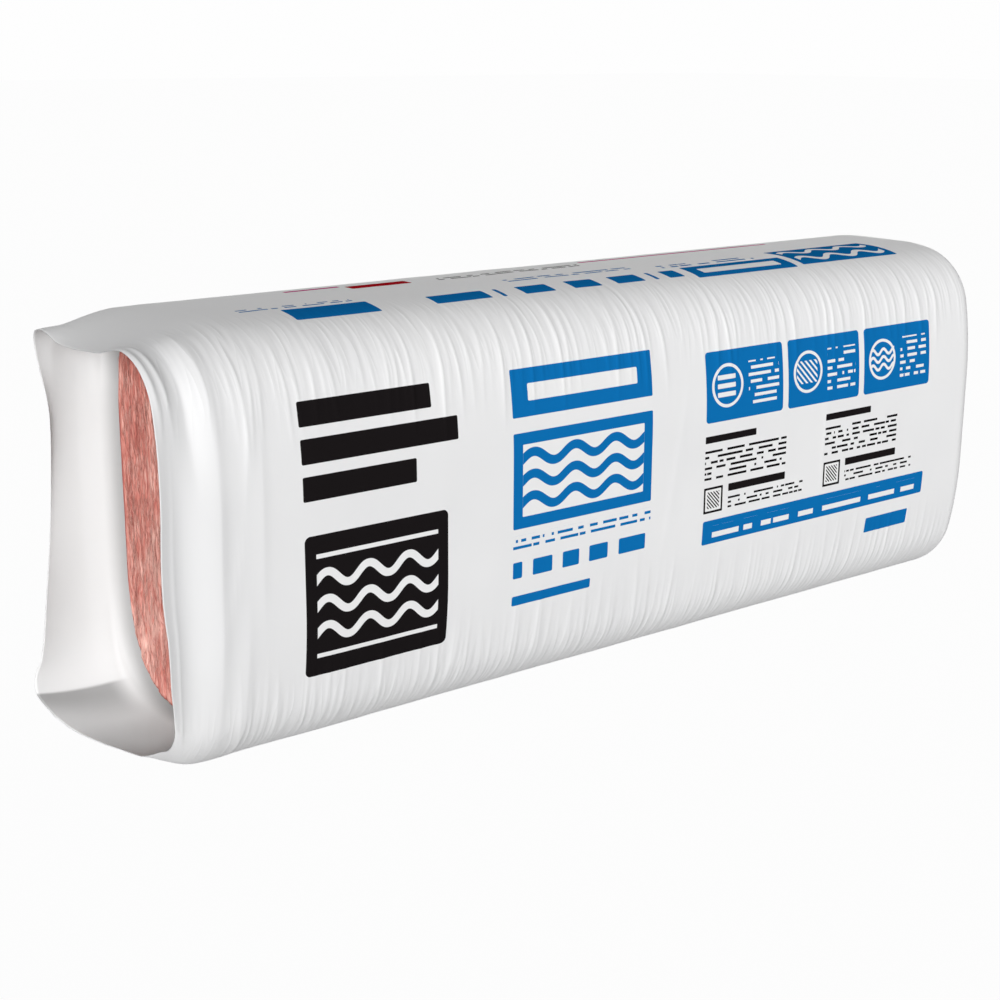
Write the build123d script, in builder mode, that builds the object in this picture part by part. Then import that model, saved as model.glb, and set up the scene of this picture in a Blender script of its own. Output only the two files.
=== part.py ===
"""Bundle of folded glass-wool batts in a film bag, standing on its narrow side.

The bag lies along X with its open mouth at -X and its closed end at +X. The origin is on the floor, under
the middle of the bag. All lengths are in millimetres.
"""
from math import cos, radians, sin
import os

from build123d import *

# The batts: sold flat, folded once and pressed together on edge.
batt_length = 2362
batt_count = 8
batt_gap = 0.3
fold_slit = 1
fold_round_share = 0.48

# The bag: outside of the film where it is tight round the bundle.
bag_width = 340
bag_height = 485
film_wall = 1.2
film_clearance = 0.4
end_round = 29

# The bag's section: flats joined by tangent arcs that bulge a little between rounded corners.
rest_flat_width = 80
side_flat_height = 120
corner_radius = 91
crown_turn = 11.3
side_turn = 11.8

# The loose skirt of film past the wool: at the lip its top sags and its back wall leans in.
skirt_length = 119
lip_sag = 30
lip_sag_turn = 20
lip_tuck = 24
lip_tuck_turn = 8
lip_corner_radius = 62

# Worked out from the sizes above.
folded_length = batt_length / 2
bag_length = skirt_length + folded_length + film_clearance + film_wall
lip_x = -bag_length / 2
wool_x = lip_x + skirt_length
wool_inset = film_wall + film_clearance


def quarter_arcs(across, up, corner, crown, side):
    """Radius and turn of a quarter's crown, corner and side arcs, from the reach of its flats.

    The two outer radii are solved so that the arcs, each tangent to the next, join the two flats. An arc
    with a turn below zero hollows the section.
    """
    a, b = radians(crown), radians(side)
    reach = across - rest_flat_width / 2 - corner * (cos(b) - sin(a))
    rise = up - side_flat_height / 2 - corner * (cos(a) - sin(b))
    scale = sin(a) * sin(b) - (1 - cos(a)) * (1 - cos(b))
    crown_radius = (reach * sin(b) - rise * (1 - cos(b))) / scale
    side_radius = (rise * sin(a) - reach * (1 - cos(a))) / scale
    return (crown_radius, crown), (corner, 90 - crown - side), (side_radius, side)


def section(x, inset, corner=corner_radius, sag=0, top_turn=crown_turn, tuck=0, back_turn=side_turn):
    """Face of the bag's section at one place along the bag, inset from the outside of the film."""
    corner -= inset
    near, far = bag_width / 2 - inset, bag_width / 2 - inset - tuck
    low, high = bag_height / 2 - inset, bag_height / 2 - inset - sag
    quarters = (
        quarter_arcs(far, low, corner, crown_turn, back_turn),
        quarter_arcs(far, high, corner, top_turn, back_turn)[::-1],
        quarter_arcs(near, high, corner, top_turn, side_turn),
        quarter_arcs(near, low, corner, crown_turn, side_turn)[::-1],
    )
    flats = (side_flat_height, rest_flat_width, side_flat_height)
    with BuildSketch(Plane.YZ.offset(x)) as face:
        with BuildLine():
            start = (-rest_flat_width / 2, inset)
            run = Line(start, (rest_flat_width / 2, inset))
            for arcs, flat in zip(quarters, flats + (0,)):
                for radius, turn in arcs:
                    run = JernArc(run @ 1, run % 1, abs(radius), turn)
                if flat:
                    run = Line(run @ 1, run @ 1 + run % 1 * flat)
        make_face()
    return face.sketch


def lip_section(inset):
    """Face of the section at the skirt's loose lip."""
    return section(lip_x, inset, lip_corner_radius, lip_sag, -lip_sag_turn, lip_tuck, -lip_tuck_turn)


# The space that the pressed wool fills.
with BuildPart() as wool_space:
    extrude(section(wool_x, wool_inset), amount=folded_length)
    fillet(wool_space.edges().group_by(Axis.X)[-1], end_round - wool_inset)

# The space inside the bag, out to its lip.
with BuildPart() as bag_inside:
    extrude(section(wool_x, film_wall), amount=folded_length + film_clearance)
    fillet(bag_inside.edges().group_by(Axis.X)[-1], end_round - film_wall)
    loft([lip_section(film_wall), section(wool_x, film_wall)])

# The bag: a sleeve with a rounded closed end and a skirt that ends in a loose lip.
with BuildPart() as bag_film:
    extrude(section(wool_x, 0), amount=folded_length + wool_inset)
    fillet(bag_film.edges().group_by(Axis.X)[-1], end_round)
    loft([lip_section(0), section(wool_x, 0)])
    add(bag_inside.part, mode=Mode.SUBTRACT)
bag_film.part.label = "bag_film"

os.makedirs("parts", exist_ok=True)
export_step(bag_film.part, "parts/bag_film.step")

# The batts: each a strip folded into two legs that lie face to face, with its cut ends at the mouth. The
# first and the last batt take their outer side from the round of the bag.
wool_width = bag_width - 2 * wool_inset
batt_thickness = (wool_width - (batt_count - 1) * batt_gap) / batt_count
batt_pitch = batt_thickness + batt_gap
slit_length = folded_length - batt_thickness / 2
for index in range(batt_count):
    low_y = index * batt_pitch - wool_width / 2
    high_y = low_y + batt_thickness
    fold_y = (low_y + high_y) / 2
    side_low = low_y - batt_thickness if index == 0 else low_y
    side_high = high_y + batt_thickness if index == batt_count - 1 else high_y
    with BuildPart() as batt:
        with BuildSketch() as strip:
            with Locations((wool_x + folded_length / 2, (side_low + side_high) / 2)):
                Rectangle(folded_length, side_high - side_low)
            fillet(strip.vertices().group_by(Axis.X)[-1], fold_round_share * batt_thickness)
            with Locations((wool_x + slit_length / 2, fold_y)):
                Rectangle(slit_length, fold_slit, mode=Mode.SUBTRACT)
        extrude(amount=bag_height)
        add(wool_space.part, mode=Mode.INTERSECT)
    name = f"batt_{index + 1}"
    batt.part.label = name
    export_step(batt.part, f"parts/{name}.step")
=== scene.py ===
"""Looks of a bagged bundle of glass-wool batts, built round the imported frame.

The bag lies along X with its open mouth at -X, and it stands on the floor at Z 0. Lengths are in metres.
"""
import logging
from dataclasses import dataclass, field
from enum import Enum
from math import cos, pi, radians, sin, tau

import bpy
import numpy as np
from mathutils import Matrix, Vector, noise


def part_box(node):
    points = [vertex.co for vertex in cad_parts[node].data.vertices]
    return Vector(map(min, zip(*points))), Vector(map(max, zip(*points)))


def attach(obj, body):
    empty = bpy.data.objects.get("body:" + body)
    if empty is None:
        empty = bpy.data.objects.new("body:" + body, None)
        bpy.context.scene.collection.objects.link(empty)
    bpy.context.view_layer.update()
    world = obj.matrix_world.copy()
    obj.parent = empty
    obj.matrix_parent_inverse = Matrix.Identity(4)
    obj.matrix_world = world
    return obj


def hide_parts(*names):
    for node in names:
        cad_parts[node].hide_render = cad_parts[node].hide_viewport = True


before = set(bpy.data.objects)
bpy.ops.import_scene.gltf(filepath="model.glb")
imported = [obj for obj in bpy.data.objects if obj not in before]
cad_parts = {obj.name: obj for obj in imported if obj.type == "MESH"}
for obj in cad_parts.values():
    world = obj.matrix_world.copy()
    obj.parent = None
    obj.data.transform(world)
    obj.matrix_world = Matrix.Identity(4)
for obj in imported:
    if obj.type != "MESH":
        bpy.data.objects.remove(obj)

LOG = logging.getLogger("insulation_bag")
BODY = "root"
MM = 0.001
PRINT_MAP = "print_map"
BAKE_MAP = "OFBake"
INNER_SHIFT = 10.0
SEAM_SHADE = "seam_shade"
STRAND = "strand"
FIRST_SEED = 3

Array = np.ndarray
Socket = bpy.types.NodeSocket
Value = Socket | float | tuple


def linear(hex_colour: str) -> tuple[float, float, float, float]:
    """Turns an sRGB hex colour into a linear one.

    Args:
        hex_colour: Six hex digits, with or without a leading hash.

    Returns:
        Red, green, blue and alpha.
    """
    digits = hex_colour.lstrip("#")
    shares = [int(digits[at : at + 2], 16) / 255 for at in (0, 2, 4)]
    red, green, blue = (c / 12.92 if c <= 0.04045 else ((c + 0.055) / 1.055) ** 2.4 for c in shares)
    return red, green, blue, 1.0


def add_node(
    tree: bpy.types.NodeTree, kind: str, inputs: dict | None = None, **settings: object
) -> bpy.types.Node:
    """Adds a node with its settings and links.

    Args:
        tree: The tree that gets the node.
        kind: Blender's name of the node type.
        inputs: Input name or index to an output socket, which is linked, or to a plain value.
        settings: Properties of the node.

    Returns:
        The new node.
    """
    node = tree.nodes.new(kind)
    for name, value in settings.items():
        setattr(node, name, value)
    for key, value in (inputs or {}).items():
        if isinstance(value, Socket):
            tree.links.new(value, node.inputs[key])
        else:
            node.inputs[key].default_value = value
    return node


def new_material(name: str) -> tuple[bpy.types.Material, bpy.types.NodeTree, bpy.types.Node]:
    """Makes a material with one surface shader.

    Args:
        name: The material's name.

    Returns:
        The material, its node tree and its shader node.
    """
    material = bpy.data.materials.new(name)
    material.use_nodes = True
    tree = material.node_tree
    return material, tree, tree.nodes["Principled BSDF"]


@dataclass(frozen=True)
class Shading:
    """Adds the nodes that the finishes use most to one tree, under short names."""

    tree: bpy.types.NodeTree

    def math(self, operation: str, *values: Value, clamp: bool = False) -> Socket:
        """Reckons with numbers."""
        inputs = dict(enumerate(values))
        return add_node(self.tree, "ShaderNodeMath", inputs, operation=operation, use_clamp=clamp).outputs[0]

    def vector(self, operation: str, *values: Value) -> Socket:
        """Reckons with places."""
        inputs = dict(enumerate(values))
        return add_node(self.tree, "ShaderNodeVectorMath", inputs, operation=operation).outputs[0]

    def apart(self, place: Socket) -> tuple[Socket, ...]:
        """Splits a place into its three numbers."""
        return tuple(add_node(self.tree, "ShaderNodeSeparateXYZ", {0: place}).outputs)

    def mix(self, share: Socket, first: Socket, second: Socket) -> Socket:
        """Goes from one number to another."""
        return add_node(self.tree, "ShaderNodeMix", {0: share, 2: first, 3: second}).outputs[0]

    def tint(self, share: Socket, first: Socket | str, second: Socket | str) -> Socket:
        """Goes from one colour to another.

        Args:
            share: Share of the second colour.
            first: A socket or a hex colour.
            second: A socket or a hex colour.

        Returns:
            The socket of the mixed colour.
        """
        ends = [linear(end) if isinstance(end, str) else end for end in (first, second)]
        inputs = {0: share, 6: ends[0], 7: ends[1]}
        return add_node(self.tree, "ShaderNodeMix", inputs, data_type="RGBA").outputs[2]

    def ramp(
        self,
        value: Socket,
        start: float,
        end: float,
        low: float = 0.0,
        high: float = 1.0,
        kind: str = "SMOOTHSTEP",
    ) -> Socket:
        """Takes a number from one range to another, and holds it at the ends.

        Args:
            value: The number.
            start: Where the first range starts.
            end: Where the first range ends, which may be below its start.
            low: What the start becomes.
            high: What the end becomes.
            kind: Blender's name of the way between them.

        Returns:
            The socket of the new number.
        """
        inputs = {0: value, 1: start, 2: end, 3: low, 4: high}
        return add_node(self.tree, "ShaderNodeMapRange", inputs, interpolation_type=kind).outputs[0]

    def noise(
        self, place: Socket, scale: float, detail: float, flat: bool = False, **more: float
    ) -> bpy.types.Node:
        """Adds a noise, in two dimensions where it is flat."""
        inputs = {"Vector": place, "Scale": scale, "Detail": detail, **more}
        return add_node(self.tree, "ShaderNodeTexNoise", inputs, noise_dimensions="2D" if flat else "3D")

    def link(self, shader: bpy.types.Node, sockets: dict[str, Socket]) -> None:
        """Links sockets to a shader's inputs by name."""
        for name, socket in sockets.items():
            self.tree.links.new(socket, shader.inputs[name])


def smooth_step(values: Array) -> Array:
    """Eases values from 0 to 1, flat at both ends."""
    share = np.clip(values, 0, 1)
    return share * share * (3 - 2 * share)


def deselect() -> None:
    """Leaves no object selected, so that an operator acts only on what is made next."""
    bpy.ops.object.select_all(action="DESELECT")


def vertex_places(mesh: bpy.types.Mesh) -> Array:
    """Reads the places of a mesh's vertices, one row each."""
    places = np.empty(len(mesh.vertices) * 3)
    mesh.vertices.foreach_get("co", places)
    return places.reshape(-1, 3)


def set_places(mesh: bpy.types.Mesh, places: Array) -> None:
    """Moves a mesh's vertices to new places."""
    mesh.vertices.foreach_set("co", np.ascontiguousarray(places, dtype=np.float64).ravel())
    mesh.update()


@dataclass(frozen=True)
class BagSection:
    """Section across the bag: flats joined by tangent arcs, as in the frame.

    It is traced from the middle of the front, up, over the top, down the back and along the bottom. A turn
    below zero hollows the top or the back, as at the loose lip.
    """

    width: float
    height: float
    flat_width: float = 80 * MM
    flat_height: float = 120 * MM
    corner: float = 91 * MM
    crown_turn: float = 11.3
    side_turn: float = 11.8
    sag: float = 0.0
    top_turn: float = 11.3
    tuck: float = 0.0
    back_turn: float = 11.8

    def quarter(self, across: float, up: float, crown: float, side: float) -> list[tuple[float, float]]:
        """Solves a quarter's arcs so that each is tangent to the next.

        Args:
            across: Reach from the middle to the side flat.
            up: Reach from the middle to the top or bottom flat.
            crown: Turn of the arc beside the top or bottom flat, in degrees.
            side: Turn of the arc beside the side flat, in degrees.

        Returns:
            Radius and turn of the crown, corner and side arcs.
        """
        a, b = radians(crown), radians(side)
        reach = across - self.flat_width / 2 - self.corner * (cos(b) - sin(a))
        rise = up - self.flat_height / 2 - self.corner * (cos(a) - sin(b))
        scale = sin(a) * sin(b) - (1 - cos(a)) * (1 - cos(b))
        crown_radius = (reach * sin(b) - rise * (1 - cos(b))) / scale
        side_radius = (rise * sin(a) - reach * (1 - cos(a))) / scale
        return [(crown_radius, crown), (self.corner, 90 - crown - side), (side_radius, side)]

    def runs(self) -> list[tuple[float, float]]:
        """Lists the runs of the rim, each a radius with its turn, or a length with no turn."""
        near, far = self.width / 2, self.width / 2 - self.tuck
        low, high = self.height / 2, self.height / 2 - self.sag
        near_top = self.quarter(near, high, self.top_turn, self.side_turn)
        far_top = self.quarter(far, high, self.top_turn, self.back_turn)
        far_low = self.quarter(far, low, self.crown_turn, self.back_turn)
        near_low = self.quarter(near, low, self.crown_turn, self.side_turn)
        top, side = (self.flat_width, 0.0), (self.flat_height, 0.0)
        half = (self.flat_height / 2, 0.0)
        return [half, *near_top[::-1], top, *far_top, side, *far_low[::-1], top, *near_low, half]

    def lengths(self) -> Array:
        """Gives the length of each run."""
        return np.array([size * radians(turn) if turn else size for size, turn in self.runs()])

    def trace(self, rows: Array) -> tuple[Array, Array]:
        """Places points on the rim.

        Args:
            rows: Run number plus the share of that run, one for each point, in rising order.

        Returns:
            Points and outward normals, as rows of Y and Z.
        """
        runs = self.runs()
        at, heading = np.array([-self.width / 2, self.height / 2]), 0.0
        starts = []
        for size, turn in runs:
            starts.append((at, heading))
            at = at + self.along(size, turn, heading)
            heading += radians(turn)
        points, normals = [], []
        for row in rows:
            run = min(int(row), len(runs) - 1)
            (size, turn), (at, heading) = runs[run], starts[run]
            share = row - run
            there = heading + radians(turn) * share
            points.append(at + self.along(size, turn, heading, share))
            normals.append((-cos(there), sin(there)))
        return np.array(points), np.array(normals)

    @staticmethod
    def along(size: float, turn: float, heading: float, share: float = 1.0) -> Array:
        """Moves along a share of one run.

        Args:
            size: The run's radius, or its length where it doesn't turn.
            turn: Its turn in degrees.
            heading: Its heading at the start in radians, where 0 is up and a quarter turn is to the back.
            share: The share of it.

        Returns:
            The move in Y and Z.
        """
        if not turn:
            return size * share * np.array([sin(heading), cos(heading)])
        end = heading + radians(turn) * share
        return size * np.array([cos(heading) - cos(end), sin(end) - sin(heading)])


class Run(Enum):
    """Ways that a crease can run on the film."""

    ROUND = "round the bag"
    ALONG = "along the bag"


@dataclass(frozen=True)
class Crease:
    """One ridge in the film, or a valley where its height is below zero.

    Attributes:
        x: Place along the bag of its middle.
        middle: Place round the bag of its middle, up from the middle of the front.
        reach: Half of its length.
        height: How far it stands up.
        width: How wide its side towards the mouth is.
        lee: How wide its other side is.
        slant: Sideways shift for each unit of its length.
        power: Shape of its crest, 1 where it is sharp and 2 where it is round.
        run: The way that it runs.
    """

    x: float
    middle: float
    reach: float
    height: float
    width: float
    lee: float
    slant: float = 0.0
    power: float = 1.0
    run: Run = Run.ROUND

    def relief(self, x: Array, around: Array, perimeter: float) -> Array:
        """Gives the crease's height at places on the film.

        Args:
            x: Places along the bag.
            around: Places round the bag.
            perimeter: Length once round the bag.

        Returns:
            The heights, with a row for each place along the bag.
        """
        off = (around - self.middle + perimeter / 2) % perimeter - perimeter / 2
        away = x - self.x
        length, side = (off, away) if self.run is Run.ROUND else (away, off)
        share = np.clip(1 - (length / self.reach) ** 2, 0, None) ** 1.5
        line = side - self.slant * length
        line = np.abs(line) / np.where(line < 0, self.width, self.lee)
        return self.height * share * np.exp(-(line**self.power))


# Creases and swells of the loose end and the front, as the photograph shows them, from the lip on.
LONG_CREASES = (
    Crease(-0.655, -0.020, 0.330, 5.0 * MM, 16 * MM, 16 * MM, 0.0, 1.6),
    Crease(-0.655, -0.215, 0.110, 6.0 * MM, 16 * MM, 16 * MM, 0.0, 1.6),
    Crease(-0.627, -0.010, 0.270, -5.0 * MM, 28 * MM, 28 * MM, 0.0, 2.0),
    Crease(-0.587, 0.010, 0.250, 2.8 * MM, 26 * MM, 9 * MM, 0.02, 1.4),
    Crease(-0.638, -0.060, 0.210, 1.0 * MM, 3 * MM, 6 * MM, 0.01),
    Crease(-0.612, 0.180, 0.110, -6.0 * MM, 15 * MM, 15 * MM, -0.05, 1.6),
    Crease(-0.646, 0.225, 0.085, 3.2 * MM, 5 * MM, 4 * MM, -0.06, 1.4),
    Crease(-0.634, 0.220, 0.080, 2.6 * MM, 5 * MM, 4 * MM, -0.08, 1.4),
    Crease(-0.590, 0.205, 0.100, 2.4 * MM, 12 * MM, 7 * MM, -0.04, 1.4),
    Crease(-0.572, -0.022, 0.080, 0.8 * MM, 3 * MM, 8 * MM, 0.27),
    Crease(-0.551, 0.126, 0.070, 1.0 * MM, 3 * MM, 10 * MM, 0.10),
    Crease(-0.560, -0.150, 0.120, 1.2 * MM, 12 * MM, 7 * MM, 0.04, 1.4),
    Crease(-0.536, 0.060, 0.160, 0.9 * MM, 14 * MM, 6 * MM, 0.02, 1.4),
    Crease(0.052, 0.005, 0.140, 0.5 * MM, 3 * MM, 9 * MM, 0.19),
    Crease(0.329, 0.020, 0.150, 0.5 * MM, 3 * MM, 9 * MM, 0.06),
    Crease(-0.585, 0.700, 0.330, 2.0 * MM, 36 * MM, 36 * MM, 0.0, 1.6),
    Crease(-0.625, 0.948, 0.092, 6.0 * MM, 50 * MM, 18 * MM, 0.0, 1.2, Run.ALONG),
    Crease(-0.568, 0.510, 0.090, 4.0 * MM, 24 * MM, 24 * MM, 0.0, 1.6),
    Crease(-0.622, 0.500, 0.080, -2.5 * MM, 18 * MM, 18 * MM, 0.0, 1.6),
)


@dataclass(frozen=True)
class Drape:
    """One stretch of the loose lip that hangs away from the lip's plane.

    Attributes:
        middle: Its place on the rim, as run number plus share of that run.
        before: How far along the rim it reaches back.
        after: How far along the rim it reaches on.
        shift: How far its middle hangs along X, Y and Z, in millimetres.
        power: How quickly it fades from the lip to the wool.
    """

    middle: float
    before: float
    after: float
    shift: tuple[float, float, float]
    power: float = 3.5

    def moves(self, rows: Array, runs: int, skirt: Array) -> Array:
        """Gives the shifts of the film's points.

        Args:
            rows: Run number plus share of the run, one for each point of a ring.
            runs: Number of runs once round the rim.
            skirt: How far each ring is from the wool's face, 0, to the lip, 1.

        Returns:
            Shifts along X, Y and Z in metres, with a row of points for each ring.
        """
        off = (rows - self.middle + runs / 2) % runs - runs / 2
        share = np.clip(1 - (off / np.where(off < 0, self.before, self.after)) ** 2, 0, None) ** 1.5
        return (skirt**self.power)[:, None, None] * share[None, :, None] * np.array(self.shift) * MM


# How the loose lip hangs, as the photograph shows it, from the middle of the front and over the top.
LIP_DRAPES = (
    Drape(0.0, 1.8, 1.8, (-5, 0, 0)),
    Drape(3.5, 0.9, 1.2, (0, 0, 5)),
    Drape(7.5, 1.2, 2.8, (30, 0, -9)),
    Drape(10.5, 0.9, 0.8, (0, 0, 11)),
    Drape(10.6, 0.7, 0.9, (-14, 0, 0)),
    Drape(7.2, 1.0, 1.2, (-4, -12, 0), 2.5),
    Drape(10.0, 1.4, 0.9, (-9, -18, 0), 2.5),
    Drape(13.4, 1.9, 2.2, (23, 0, 0)),
    Drape(13.0, 0.8, 0.6, (0, -8, 5)),
    Drape(14.55, 1.7, 1.1, (0, 7, 35), 5.0),
    Drape(15.6, 1.2, 1.0, (2, 0, 0)),
)


@dataclass
class FilmBag:
    """The bag: one closed skin of film, double walled, with its loose skirt, folds and closed end."""

    lip_x: float
    end_x: float
    width: float
    height: float
    skirt: float = 119 * MM
    wall: float = 0.6 * MM
    end_round: float = 29 * MM
    end_crown: float = 5 * MM
    seam_fin: float = 9 * MM
    lip_corner: float = 62 * MM
    lip_sag: float = 32 * MM
    lip_top_turn: float = -20.0
    lip_tuck: float = 9 * MM
    lip_back_turn: float = 4.0
    straight_share: float = 0.2
    calm_share: float = 0.15
    edge_share: float = 0.4
    fin_share: float = 0.97
    fin_reach_share: float = 0.4
    fin_gap_share: float = 0.004
    column_step: float = 1.55 * MM
    inner_step: float = 2.4 * MM
    row_counts: tuple[int, ...] = (3, 7, 13, 4, 4, 4, 11, 5, 4, 5, 12, 3, 4, 4, 13, 7, 3)
    fold_start: float = 40 * MM
    fold_stop: float = 6 * MM
    fold_flanks: tuple[float, float] = (2.4 * MM, 5.4 * MM)
    swell_count: int = 60
    swell_flanks: tuple[float, float] = (14 * MM, 42 * MM)
    creased_run: int = 10
    crease_share: float = 0.54
    seed: int = 11
    tube: BagSection = field(init=False)
    lip: BagSection = field(init=False)

    def __post_init__(self) -> None:
        """Makes the two sections that the skirt goes between."""
        self.tube = BagSection(self.width, self.height)
        self.lip = BagSection(
            self.width,
            self.height,
            corner=self.lip_corner,
            sag=self.lip_sag,
            top_turn=self.lip_top_turn,
            tuck=self.lip_tuck,
            back_turn=self.lip_back_turn,
        )

    @property
    def wool_x(self) -> float:
        """Place along the bag of the wool's cut face."""
        return self.lip_x + self.skirt

    def rows(self) -> Array:
        """Spreads the rim's points over its runs, closest together at the corners and the creased one."""
        steps = [np.arange(count) / count for count in self.row_counts]
        past = steps[self.creased_run] - self.crease_share
        room = np.where(past < 0, self.crease_share, 1 - self.crease_share)
        steps[self.creased_run] = self.crease_share + past * np.abs(past) / room
        return np.concatenate([*(run + step for run, step in enumerate(steps)), [len(steps)]])

    def around(self, rows: Array) -> Array:
        """Measures how far round the tight bag each rim point is from the middle of the front."""
        ends = np.concatenate([[0.0], np.cumsum(self.tube.lengths())])
        return np.interp(rows, np.arange(len(ends)), ends)

    def folds(self) -> list[Crease]:
        """Scatters the fine folds that the tight film has over the four long edges of the bundle.

        Returns:
            The folds.
        """
        rng = np.random.default_rng(self.seed)
        lengths = np.cumsum(self.tube.lengths())
        made = []
        # Closest and widest spacing, and the greatest height, in millimetres.
        top, bottom = (9, 21, 1.9), (6, 15, 1.2)
        for run, side, (near, far, tall) in ((2, -1, top), (6, 1, top), (10, -1, bottom), (14, 1, bottom)):
            edge = (lengths[run - 1] + lengths[run]) / 2
            x = self.wool_x - self.fold_start
            while x < self.end_x - self.fold_stop:
                x += rng.uniform(near, far) * MM
                size = rng.uniform(0.35, 1) ** 1.5
                made.append(
                    Crease(
                        x,
                        edge + side * (26 + 20 * size + rng.uniform(-6, 8)) * MM,
                        (34 + 40 * size + rng.uniform(0, 12)) * MM,
                        tall * size * MM,
                        rng.uniform(*self.fold_flanks),
                        rng.uniform(*self.fold_flanks),
                        rng.uniform(-0.08, 0.08),
                    )
                )
        return made

    def slack(self) -> list[Crease]:
        """Scatters broad, low swells where the film lies a little loose on the wool.

        Returns:
            The swells.
        """
        rng = np.random.default_rng(self.seed + 1)
        perimeter = float(self.tube.lengths().sum())
        return [
            Crease(
                rng.uniform(self.wool_x, self.end_x),
                rng.uniform(0, perimeter),
                rng.uniform(120, 300) * MM,
                rng.uniform(0.1, 0.4) * MM,
                rng.uniform(*self.swell_flanks),
                rng.uniform(*self.swell_flanks),
                rng.uniform(-0.12, 0.12),
                1.6,
            )
            for _ in range(self.swell_count)
        ]

    def relief(self, x: Array, around: Array) -> Array:
        """Adds up every fold, crease and swell of the film.

        Args:
            x: Places along the bag, one for each column.
            around: Places round the bag, one for each row.

        Returns:
            Heights above the tight film, with a row for each column.
        """
        perimeter = float(self.tube.lengths().sum())
        total = np.zeros((len(x), len(around)))
        for crease in (*self.folds(), *self.slack(), *LONG_CREASES):
            total += crease.relief(x[:, None], around[None, :], perimeter)
        return total

    def skirt_share(self, x: Array) -> Array:
        """Gives how far each column is from the wool's face, 0, to the lip, 1."""
        return np.clip((self.wool_x - x) / self.skirt, 0, 1)

    def columns(self) -> tuple[Array, Array, Array]:
        """Lays out the rings of the skin, from the inside of the closed end out over the lip to its outside.

        Returns:
            For each ring: its place along the bag, its share of the closed end and whether it is outside.
        """
        tube_end = self.end_x - self.end_round
        skirt_count = round(self.skirt / self.inner_step)
        outer_count = round((tube_end - self.lip_x) / self.column_step)
        skirt_x = np.linspace(self.wool_x, self.lip_x, skirt_count)
        inner_x = np.concatenate([np.linspace(tube_end, self.wool_x, 8)[:-1], skirt_x])
        outer_x = np.linspace(self.lip_x, tube_end, outer_count)
        inner_end = np.array([1.0, 0.55, 0.4, 0.25, 0.12])
        edge, fin = self.edge_share, self.fin_share
        outer_end = np.concatenate(
            [np.linspace(0, edge, 11)[1:], np.linspace(edge, fin, 17)[1:], [(1 + fin) / 2, 1.0]]
        )
        first, last = (np.full(len(shares), tube_end) for shares in (inner_end, outer_end))
        x = np.concatenate([first, inner_x, outer_x, last])
        end = np.concatenate([inner_end, np.zeros(len(inner_x) + len(outer_x)), outer_end])
        outside = np.arange(len(x)) >= len(inner_end) + len(inner_x)
        return x, end, outside

    def ring_places(self) -> tuple[Array, Array, Array]:
        """Shapes every ring of the skin.

        Returns:
            Places with a row of points for each ring, the place along the film of each ring, and the place
            round the film of each point.
        """
        rows = self.rows()
        around = self.around(rows)
        x, end, outside = self.columns()
        tube, tube_normals = self.tube.trace(rows)
        lip, lip_normals = self.lip.trace(rows)
        skirt = self.skirt_share(x)
        ease = (self.straight_share * skirt + (1 - self.straight_share) * skirt**2)[:, None, None]
        flat = tube[None] * (1 - ease) + lip[None] * ease
        normals = tube_normals[None] * (1 - ease) + lip_normals[None] * ease
        normals /= np.linalg.norm(normals, axis=2, keepdims=True)

        # The closed end: a rounded edge, then two panels that lean in to a welded fin down the middle.
        bend = np.clip(end / self.edge_share, 0, 1) * pi / 2
        panel = np.clip((end - self.edge_share) / (self.fin_share - self.edge_share), 0, 1)
        fin = np.clip((end - self.fin_share) / (1 - self.fin_share), 0, 1)
        flat = flat - normals * (self.end_round * (1 - np.cos(bend)))[:, None, None]
        reach, middle = self.fin_reach_share * self.height, self.height / 2
        spine_z = np.clip(flat[..., 1], middle - reach, middle + reach)
        spine = np.stack([np.zeros_like(spine_z), spine_z], axis=2)
        thin = panel * (1 - self.fin_gap_share) + self.fin_gap_share * fin
        flat = flat * (1 - thin)[:, None, None] + spine * thin[:, None, None]
        along = x + self.end_round * np.sin(bend)
        along += np.where(outside, self.end_crown * np.sin(panel * pi / 2) + self.seam_fin * fin, 0)

        # Folds stand on the outside of the tight film, and on both sides of the loose skirt.
        lift = self.relief(x, around)
        lift *= np.where(outside, 1 - panel, smooth_step(skirt / self.calm_share))[:, None]
        lift -= np.where(outside, 0, self.wall)[:, None]
        flat = flat + normals * (lift * np.cos(bend)[:, None])[..., None]
        depth = along[:, None] + lift * np.sin(bend)[:, None]
        places = np.concatenate([depth[..., None], flat], axis=2)
        places += sum(drape.moves(rows, len(self.row_counts), skirt) for drape in LIP_DRAPES)
        # The film lies on the floor and never goes through it.
        floor = np.where(outside, 0, self.wall)[:, None]
        places[..., 2] = np.maximum(places[..., 2], floor)
        travel = along + (self.end_round * bend + self.width / 2 * panel) * (end > 0)
        return places, np.where(outside, travel, travel + INNER_SHIFT), around

    def build(self) -> bpy.types.Object:
        """Wraps a flat grid into the bag and welds its seams.

        Returns:
            The bag's object.
        """
        places, travel, around = self.ring_places()
        rings, points = places.shape[:2]
        deselect()
        bpy.ops.mesh.primitive_grid_add(x_subdivisions=rings - 1, y_subdivisions=points - 1, size=1)
        bag = bpy.context.object
        bag.name = bag.data.name = "printed_film_bag"
        flat = vertex_places(bag.data)
        ring = np.rint((flat[:, 0] + 0.5) * (rings - 1)).astype(int)
        point = np.rint((flat[:, 1] + 0.5) * (points - 1)).astype(int)
        set_places(bag.data, places[ring, point])
        self.map_film(bag.data, ring, point, travel, around)
        bpy.ops.object.mode_set(mode="EDIT")
        bpy.ops.mesh.select_all(action="SELECT")
        bpy.ops.mesh.remove_doubles(threshold=0.02 * MM)
        bpy.ops.mesh.normals_make_consistent(inside=False)
        bpy.ops.mesh.faces_shade_smooth()
        bpy.ops.object.mode_set(mode="OBJECT")
        return bag

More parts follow.
